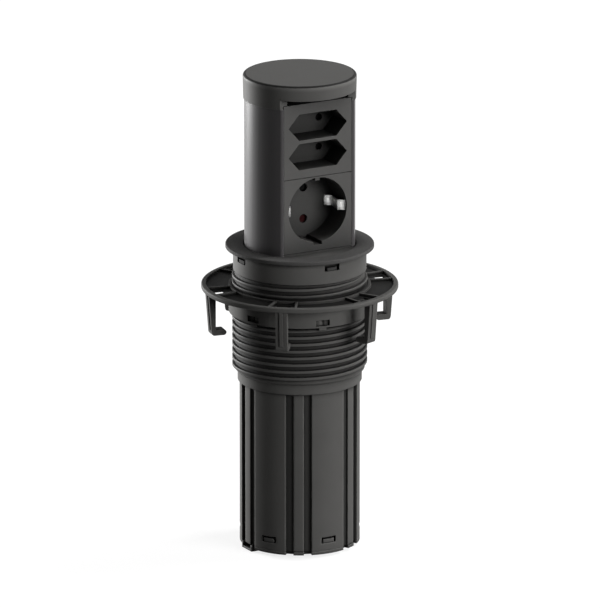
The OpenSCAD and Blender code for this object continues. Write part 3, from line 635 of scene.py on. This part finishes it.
@dataclass(frozen=True)
class BareMetal(Finish):
    """Plated or bare metal with fine rolling marks and a cloudy gloss.

    Attributes:
        edge: Radius of the soft edges in millimetres.
        mark: Width of the rolling marks in millimetres.
        mark_stretch: Factor that draws the marks out along Y.
        mark_depth: Depth of the marks in millimetres.
        cloud: Size of the tarnish's clouds in millimetres.
        cloud_rough: Swing of the roughness with the clouds.
        mark_rough: Swing of the roughness with the marks.
        edge_rough: What the edges take off the roughness.
    """

    rough: float = 0.28
    smoothest: float = 0.03
    relief: float = 0.2
    dark: float = 0.86
    light: float = 1.06
    edge: float = 0.15
    mark: float = 0.2
    mark_stretch: float = 0.06
    mark_depth: float = 0.01
    cloud: float = 3.0
    cloud_rough: float = 0.12
    mark_rough: float = 0.08
    edge_rough: float = 0.04

    def paint(self, tree: ShaderTree) -> None:
        """A noise stretched along Y gives the rolling marks, a wide one the tarnish.

        Args:
            tree: The tree that the finish is drawn into.
        """
        marks = tree.noise(tree.place((1.0, self.mark_stretch, 1.0)), self.mark)
        cloud = tree.noise(tree.place(), self.cloud, tree.FINE_DETAIL)
        rounded, edge = tree.soft_edges(self.edge)
        rough = self.rough + cloud.swing(self.cloud_rough) + marks.swing(self.mark_rough)
        tree.finish(
            {
                "Base Color": self.uneven(tree, cloud),
                "Metallic": 1.0,
                "Roughness": (rough - edge * self.edge_rough).clip(self.smoothest),
                "Normal": tree.bump(marks, self.relief, self.mark_depth, rounded),
            }
        )


@dataclass(frozen=True)
class Rubber(Finish):
    """Soft black rubber with a bloom on it.

    Attributes:
        skin: Size of the dull skin's lumps in millimetres.
        skin_depth: Depth of the skin in millimetres.
        skin_rough: Swing of the roughness with the skin.
        bloom: Size of the bloom's patches in millimetres.
    """

    rough: float = 0.7
    smoothest: float = 0.3
    relief: float = 0.4
    dark: float = 0.8
    light: float = 1.5
    skin: float = 0.15
    skin_depth: float = 0.02
    skin_rough: float = 0.2
    bloom: float = 2.5

    def paint(self, tree: ShaderTree) -> None:
        """A wide noise gives the bloom and a fine one the dull skin.

        Args:
            tree: The tree that the finish is drawn into.
        """
        at = tree.place()
        bloom = tree.noise(at, self.bloom, tree.FINE_DETAIL)
        skin = tree.noise(at, self.skin)
        tree.finish(
            {
                "Base Color": self.uneven(tree, bloom),
                "Roughness": (self.rough + skin.swing(self.skin_rough)).clip(self.smoothest),
                "Normal": tree.bump(skin, self.relief, self.skin_depth),
            }
        )


class Finishes(Enum):
    """The finishes that the socket's pieces wear."""

    # reach and sharp set how much painted shade each moulding gets in its corners and cavities
    FLANGE = MouldedPlastic(
        "flange_satin",
        (0.056, 0.055, 0.054),
        rough=0.7,
        grain=1.0,
        depth=0.6,
        reach=9.0,
        sharp=2.4,
    )
    HOUSING = Threaded("housing_satin", (0.069, 0.068, 0.0655), gloss=0.05, reach=4.0, sharp=2.8)
    NUT = Webbed("nut_satin", (0.068, 0.067, 0.0645), rough=0.6, grain=0.3)
    CAP = Ringed("cap_satin", (0.070, 0.069, 0.0665), rough=0.52, grain=0.28, gloss=0.035, reach=12.0)
    MODULE = MouldedPlastic(
        "module_satin",
        (0.067, 0.066, 0.064),
        grain=0.25,
        edge=0.25,
        gloss=0.06,
        reach=24.0,
        sharp=1.5,
    )
    COVER = MouldedPlastic("cover_black", (0.006, 0.006, 0.006), rough=0.6)
    SHUTTER = TwoToned("shutter_red", (0.013, 0.0012, 0.0016), rough=0.5, edge=0.15, rub_and_sheen=1.2, sharp=0.0)
    TOWER = Anodised("tower_anodised", (0.040, 0.0382, 0.0393))
    NICKEL = BareMetal("clip_nickel", (0.72, 0.72, 0.71), edge=3.0)
    BRASS = BareMetal("brass_bare", (0.78, 0.58, 0.26))
    ZINC = BareMetal("screw_zinc", (0.62, 0.63, 0.64), rough=0.32)
    RING = Rubber("friction_rubber", (0.020, 0.020, 0.020))


def dress(node: str, finish: Finishes) -> None:
    """Gives a CAD node its finish, in place of the one it was loaded with.

    Args:
        node: Name of the node.
        finish: The finish that it wears.
    """
    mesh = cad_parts[node].data
    mesh.materials.clear()
    mesh.materials.append(finish.value.material())
    LOG.info("%s wears %s", node, finish.value.name)


def add_object(name: str, data: bpy.types.ID) -> bpy.types.Object:
    """Puts an object into the scene.

    Args:
        name: Name of the object.
        data: Its mesh, light or camera.

    Returns:
        The new object.
    """
    made = bpy.data.objects.new(name, data)
    bpy.context.scene.collection.objects.link(made)
    return made


def sweep_mesh(name: str, rings: np.ndarray) -> bpy.types.Object:
    """Makes a closed rod from the rings of a sweep.

    Point j of ring i joins point j of ring i + 1 and the next point of both, and the first and
    last ring are closed by one face each. If the rod's signed volume, the sum of the triple
    products of its corners, is negative, every face is turned round.

    Args:
        name: Name of the piece.
        rings: Array of rings by points by coordinates, in metres.

    Returns:
        The new object.
    """
    count, size, _ = rings.shape
    first = np.arange(count - 1)[:, None] * size
    here = np.arange(size)[None, :]
    after = (here + 1) % size
    corners = (first + here, first + after, first + size + after, first + size + here)
    quads = np.stack(corners, axis=-1).reshape(-1, len(corners))
    points = rings.reshape(-1, 3)
    a, b, c, d = (points[column] for column in quads.T)
    volume = np.einsum("ij,ij->", np.cross(a, b), c) + np.einsum("ij,ij->", np.cross(a, c), d)
    ends = [np.arange(size)[::-1].tolist(), ((count - 1) * size + np.arange(size)).tolist()]
    faces = quads.tolist() + ends
    if volume < 0:
        faces = [face[::-1] for face in faces]
    mesh = bpy.data.meshes.new(name)
    mesh.from_pydata(points.tolist(), [], faces)
    mesh.polygons.foreach_set("use_smooth", np.ones(len(mesh.polygons), dtype=bool))
    mesh.update()
    return add_object(name, mesh)


@dataclass
class Housing:
    """Flange, sleeve, guide tube and base cap, with the thread wound on the sleeve. Sizes in mm.

    Attributes:
        root_r: Radius of the sleeve between the thread's ridges.
        depth: How far the ridge stands out.
        pitch: Rise of the thread in one turn.
        crest_w: Width of the ridge's crest.
        foot_w: Width of the ridge's foot.
        sink: How deep the ridge's foot lies in the sleeve.
        groove_z: Height of one point in the middle of the groove.
        groove_a: Angle of that point, in degrees.
        low: Height of the thread's lower end.
        high: Height of the thread's upper end.
        fade: Share of a turn over which the ridge grows at each end.
        least: How far along that growth the ridge starts.
        steps: Rings in a turn.
        rises: Shares of the depth at the points of one flank, from the foot to the crest.
        leans: Shares of the flank's lean at the same points.
    """

    root_r: float = 38.3
    depth: float = 1.5
    pitch: float = 4.15
    crest_w: float = 1.7
    foot_w: float = 2.3
    sink: float = 0.4
    groove_z: float = -32.75
    groove_a: float = 80.0
    low: float = -73.0
    high: float = -15.4
    fade: float = 0.25
    least: float = 0.03
    steps: int = 120
    rises: tuple[float, ...] = (0.0, 0.75, 0.93, 1.0)
    leans: tuple[float, ...] = (0.0, 0.75, 1.0, 1.4)

    def build(self) -> None:
        """Winds the thread's ridge round the sleeve.

        The ridge is a rounded trapezoid carried along a right-hand helix: at angle t its middle
        lies at height z0 + pitch * t / (2 pi), and its points stand out from the root by the
        profile's height times a growth, a smooth step that starts near 0 at both ends. The ridge's
        width grows with it from half to full. The profile is one flank and its mirror image, and
        its foot is sunk into the sleeve.
        """
        start = self.groove_z + self.pitch / 2 - self.pitch * self.groove_a / 360.0
        first = math.ceil((self.low - start) / self.pitch * self.steps)
        last = math.floor((self.high - start) / self.pitch * self.steps)
        turn = np.arange(first, last + 1)[:, None] / self.steps
        run = np.minimum(turn - turn[0], turn[-1] - turn) / self.fade
        grow = np.clip(run, self.least, 1.0)
        grow = grow * grow * (3.0 - 2.0 * grow)
        foot = np.full_like(turn, self.root_r - self.sink)
        flank = np.hstack((foot, self.root_r + self.depth * np.array(self.rises) * grow))
        radius = np.hstack((flank, flank[:, ::-1]))
        lean = (self.foot_w - self.crest_w) / 2
        half = self.foot_w / 2 - lean * np.array((0.0, *self.leans))
        side = np.concatenate((-half, half[::-1]))
        angle = 2.0 * math.pi * turn
        height = start + self.pitch * turn + side * (0.5 + 0.5 * grow)
        rings = np.stack((radius * np.cos(angle), radius * np.sin(angle), height), axis=-1)
        ridge = sweep_mesh("thread_ridge", rings * MM)
        ridge.data.materials.append(Finishes.HOUSING.value.material())
        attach(ridge, "housing")
        LOG.info("thread_ridge has %d rings", len(turn))

    def dress(self) -> None:
        """Finishes the housing's mouldings."""
        dress("bezel_flange", Finishes.FLANGE)
        for node in ("threaded_sleeve", "guide_tube", "base_cap"):
            dress(node, Finishes.HOUSING)


@dataclass
class LockNut:
    """The hooked nut under the desk."""

    node: str = "lock_nut"

    def dress(self) -> None:
        """Finishes the nut."""
        dress(self.node, Finishes.NUT)


@dataclass
class Tower:
    """Shell, cap and foot of the sliding tower, with what holds them. Sizes in mm.

    Attributes:
        plastics: Nodes of the tower's mouldings.
        screws: Nodes of its screws.
        disc_z: Height of the underside of the cap's disc.
        draft: How much the disc's side draws in for each unit downwards.
        edge_r: Radius of the disc's top edge, where the draft starts.
        lip_h: Height of the finger lip.
        lip_t: Thickness of the lip.
        lip_edge: Radius of the lip's outer foot.
        sink: How far the lip reaches into the disc.
        steps: Rings along the lip.
        bend_steps: Points round the lip's outer foot.
        crease: Least angle between faces that meet in a sharp edge, in degrees.
    """

    plastics: tuple[str, ...] = ("top_cap", "foot_guide")
    screws: tuple[str, ...] = ("foot_screws", "cover_screws", "terminal_screws")
    disc_z: float = DISC_Z
    draft: float = 0.023
    edge_r: float = 1.6
    lip_h: float = 1.5
    lip_t: float = 2.6
    lip_edge: float = 0.4
    sink: float = 0.3
    steps: int = 96
    bend_steps: int = 5
    crease: float = 40.0

    def build(self) -> None:
        """Hangs the finger lip under the front of the cap's disc.

        The lip is an upright rectangle with a rounded outer foot, carried along the arc of the
        disc's edge in front of the flat face: at angle t from -Y its outer side goes on with the
        draft of the disc's side, and its inner side lies lip_t further in, or on the flat face's
        plane where that is nearer, which is at |face_y| / cos t.
        """
        _, cap_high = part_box("top_cap")
        face_low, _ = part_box("flat_module")
        cap_r, cap_top, face_y = cap_high[0] / MM, cap_high[2] / MM, abs(face_low[1]) / MM
        top_z, foot_z = self.disc_z + self.sink, self.disc_z - self.lip_h
        side_r = cap_r - self.draft * (cap_top - self.edge_r - self.disc_z)
        end = math.acos(face_y / (side_r - self.lip_edge))
        angle = np.linspace(-end, end, self.steps)[:, None]
        bend = np.linspace(0.0, math.pi / 2, self.bend_steps)
        outer_z = np.concatenate(([top_z, self.disc_z], foot_z + self.lip_edge * (1.0 - np.sin(bend))))
        inset = np.concatenate(([self.sink, 0.0], self.lip_edge * (1.0 - np.cos(bend))))
        outer_r = side_r - self.draft * (self.disc_z - outer_z) - inset
        inner_r = np.maximum(side_r - self.lip_t, face_y / np.cos(angle))
        radius = np.hstack((np.broadcast_to(outer_r, (self.steps, outer_r.size)), inner_r, inner_r))
        height = np.broadcast_to(np.append(outer_z, (foot_z, top_z)), radius.shape)
        rings = np.stack((radius * np.sin(angle), -radius * np.cos(angle), height), axis=-1)
        lip = sweep_mesh("cap_lip", rings * MM)
        lip.data.set_sharp_from_angle(angle=math.radians(self.crease))
        lip.data.materials.append(Finishes.CAP.value.material())
        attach(lip, "tower")
        LOG.info("cap_lip has %d rings", self.steps)

    def dress(self) -> None:
        """Finishes the tower."""
        dress("tower_shell", Finishes.TOWER)
        dress("friction_ring", Finishes.RING)
        for node in self.plastics:
            dress(node, Finishes.CAP)
        for node in self.screws:
            dress(node, Finishes.ZINC)


@dataclass
class Sockets:
    """The two socket modules with their shutters and contacts."""

    modules: tuple[str, ...] = ("flat_module", "earthed_module")
    darks: tuple[str, ...] = (
        "flat_rear_cover",
        "earthed_rear_cover",
        "terminal_block",
        "flat_shutter_upper",
        "flat_shutter_lower",
    )
    contacts: tuple[str, ...] = (
        "flat_bar_left",
        "flat_bar_right",
        "earthed_clamp_upper",
        "earthed_clamp_lower",
        "terminal_clamps",
    )

    def dress(self) -> None:
        """Finishes the modules and what is in them."""
        for nodes, finish in (
            (self.modules, Finishes.MODULE),
            (self.darks, Finishes.COVER),
            (self.contacts, Finishes.BRASS),
        ):
            for node in nodes:
                dress(node, finish)
        dress("earthed_shutter", Finishes.SHUTTER)
        dress("earth_clip", Finishes.NICKEL)


@dataclass(frozen=True)
class Lamp:
    """A soft box, placed round the point that the camera aims at.

    Attributes:
        name: Name of the lamp.
        azimuth: Direction to the lamp in degrees: 0 is -Y, and 90 is +X.
        elevation: Angle above the level in degrees.
        distance: Distance in metres.
        width: Width of the box in metres.
        height: Height of the box in metres.
        power: Power in watts.
    """

    name: str
    azimuth: float
    elevation: float
    distance: float
    width: float
    height: float
    power: float


@dataclass
class Studio:
    """Pale floor, white surround, soft boxes and the camera. Sizes in metres, angles in degrees.

    Attributes:
        floor_gap: How far the floor lies under the object's foot.
        floor_half: Half the width of the floor.
        floor_bounce: Share of the light that the floor throws back on the object.
        floor_white: Share of the light that the floor shows to what looks at it.
        floor_glow: Strength of the floor's own white, which shows and doesn't light.
        near_glow: Share of that white near the object, where the rest shows its shadow.
        shadow_r: Distance from the axis at which the shadow starts to fade out.
        shadow_fade: Distance over which it fades out.
        dim: Strength of the surround's light on the object.
        aim: The point that the camera and the lamps look at.
        azimuth: Direction to the camera.
        elevation: Angle of the camera above the level.
        distance: Distance of the camera.
        frame_height: Height of what the picture shows at the aim.
        clip: Nearest and farthest distance that the camera sees.
        lamps: The soft boxes.
    """

    floor_gap: float = 0.00005
    floor_half: float = 14.0
    floor_bounce: float = 0.1
    floor_white: float = 0.9
    floor_glow: float = 1.07
    near_glow: float = 0.74
    shadow_r: float = 0.25
    shadow_fade: float = 0.35
    dim: float = 0.035
    aim: tuple[float, float, float] = (0.00026, 0.00014, -0.0358)
    azimuth: float = -29.0
    elevation: float = 16.0
    distance: float = 6.0
    frame_height: float = 0.3576
    clip: tuple[float, float] = (0.1, 60.0)
    lamps: tuple[Lamp, ...] = (
        Lamp("key", 23.0, 14.0, 1.6, 1.0, 0.5, 30.5),
        Lamp("rim_left", -157.0, 4.0, 1.2, 0.5, 0.4, 39.0),
        Lamp("rim_right", 95.0, 6.0, 1.2, 0.4, 0.5, 0.6),
        Lamp("top", 80.0, 50.0, 1.3, 0.5, 0.5, 15.0),
    )

    def build(self) -> None:
        """Makes the floor, the world, the lamps and the camera."""
        bpy.context.scene.view_settings.view_transform = "Standard"
        self._floor()
        self._world()
        for lamp in self.lamps:
            self._lamp(lamp)
        self._camera()

    @staticmethod
    def _seen(tree: ShaderTree) -> Wire:
        """Tells what is looked at from what only lights.

        Args:
            tree: The tree that asks.

        Returns:
            1 for rays from the camera, off gloss or through glass, and 0 for the light's own.
        """
        rays = ("Is Camera Ray", "Is Glossy Ray", "Is Transmission Ray")
        camera, gloss, glass = (tree.node("ShaderNodeLightPath", {}, {}, ray) for ray in rays)
        return (camera + gloss + glass).clip()

    def _floor(self) -> None:
        """A square floor, white to the camera, which keeps a soft shadow near the object."""
        half = self.floor_half
        corner = np.array([[-half, -half], [half, -half], [half, half], [-half, half]])
        points = np.column_stack((corner, np.full(len(corner), CAD_LOW[2] - self.floor_gap)))
        mesh = bpy.data.meshes.new("floor")
        mesh.from_pydata(points.tolist(), [], [[0, 1, 2, 3]])
        floor = add_object("floor", mesh)
        paint = bpy.data.materials.new("floor_paint")
        tree = ShaderTree(paint)
        seen = self._seen(tree)
        pale = self.floor_bounce + seen * (self.floor_white - self.floor_bounce)
        matt = tree.node("ShaderNodeBsdfDiffuse", {}, {"Color": pale})
        glow = tree.node("ShaderNodeEmission", {}, {"Color": WHITE, "Strength": self.floor_glow})
        far = tree.radius().above(self.shadow_r / MM, MM / self.shadow_fade)
        share = seen * (self.near_glow + far * (1.0 - self.near_glow))
        skin = tree.node("ShaderNodeMixShader", {}, {0: share, 1: matt, 2: glow})
        tree.node("ShaderNodeOutputMaterial", {}, {"Surface": skin})
        mesh.materials.append(paint)

    def _world(self) -> None:
        """White to the camera, and a dim even light on the object."""
        world = bpy.data.worlds.new("surround")
        bpy.context.scene.world = world
        tree = ShaderTree(world)
        strength = self.dim + self._seen(tree) * (1.0 - self.dim)
        glow = tree.node("ShaderNodeBackground", {}, {"Color": WHITE, "Strength": strength})
        tree.node("ShaderNodeOutputWorld", {}, {"Surface": glow})

    def _hang(self, made: bpy.types.Object, azimuth: float, elevation: float, distance: float) -> None:
        """Places an object in a direction from the aim and turns it to look there.

        Args:
            made: A lamp or a camera, which looks along its own -Z.
            azimuth: Direction in degrees: 0 is -Y, and 90 is +X.
            elevation: Angle above the level in degrees.
            distance: Distance in metres.
        """
        a, e = math.radians(azimuth), math.radians(elevation)
        toward = Vector((math.sin(a) * math.cos(e), -math.cos(a) * math.cos(e), math.sin(e)))
        made.location = Vector(self.aim) + toward * distance
        made.rotation_mode = "QUATERNION"
        made.rotation_quaternion = (-toward).to_track_quat("-Z", "Y")

    def _lamp(self, lamp: Lamp) -> None:
        """Hangs one soft box.

        Args:
            lamp: The soft box.
        """
        light = bpy.data.lights.new(lamp.name, "AREA")
        light.shape = "RECTANGLE"
        light.size, light.size_y = lamp.width, lamp.height
        light.energy = lamp.power
        self._hang(add_object(lamp.name, light), lamp.azimuth, lamp.elevation, lamp.distance)

    def _camera(self) -> None:
        """A long lens at the photograph's angle, whose frame's height is known at the aim."""
        lens = bpy.data.cameras.new("camera")
        lens.lens = lens.sensor_width * self.distance / self.frame_height
        lens.clip_start, lens.clip_end = self.clip
        made = add_object("camera", lens)
        self._hang(made, self.azimuth, self.elevation, self.distance)
        bpy.context.scene.camera = made


def main() -> None:
    """Builds and dresses the socket, then sets the studio round it."""
    logging.basicConfig(level=logging.INFO, format="%(name)s: %(message)s")
    housing, tower = Housing(), Tower()
    for part in (housing, tower):
        part.build()
    for part in (housing, LockNut(), tower, Sockets()):
        part.dress()
    Studio().build()


if __name__ == "__main__":
    main()
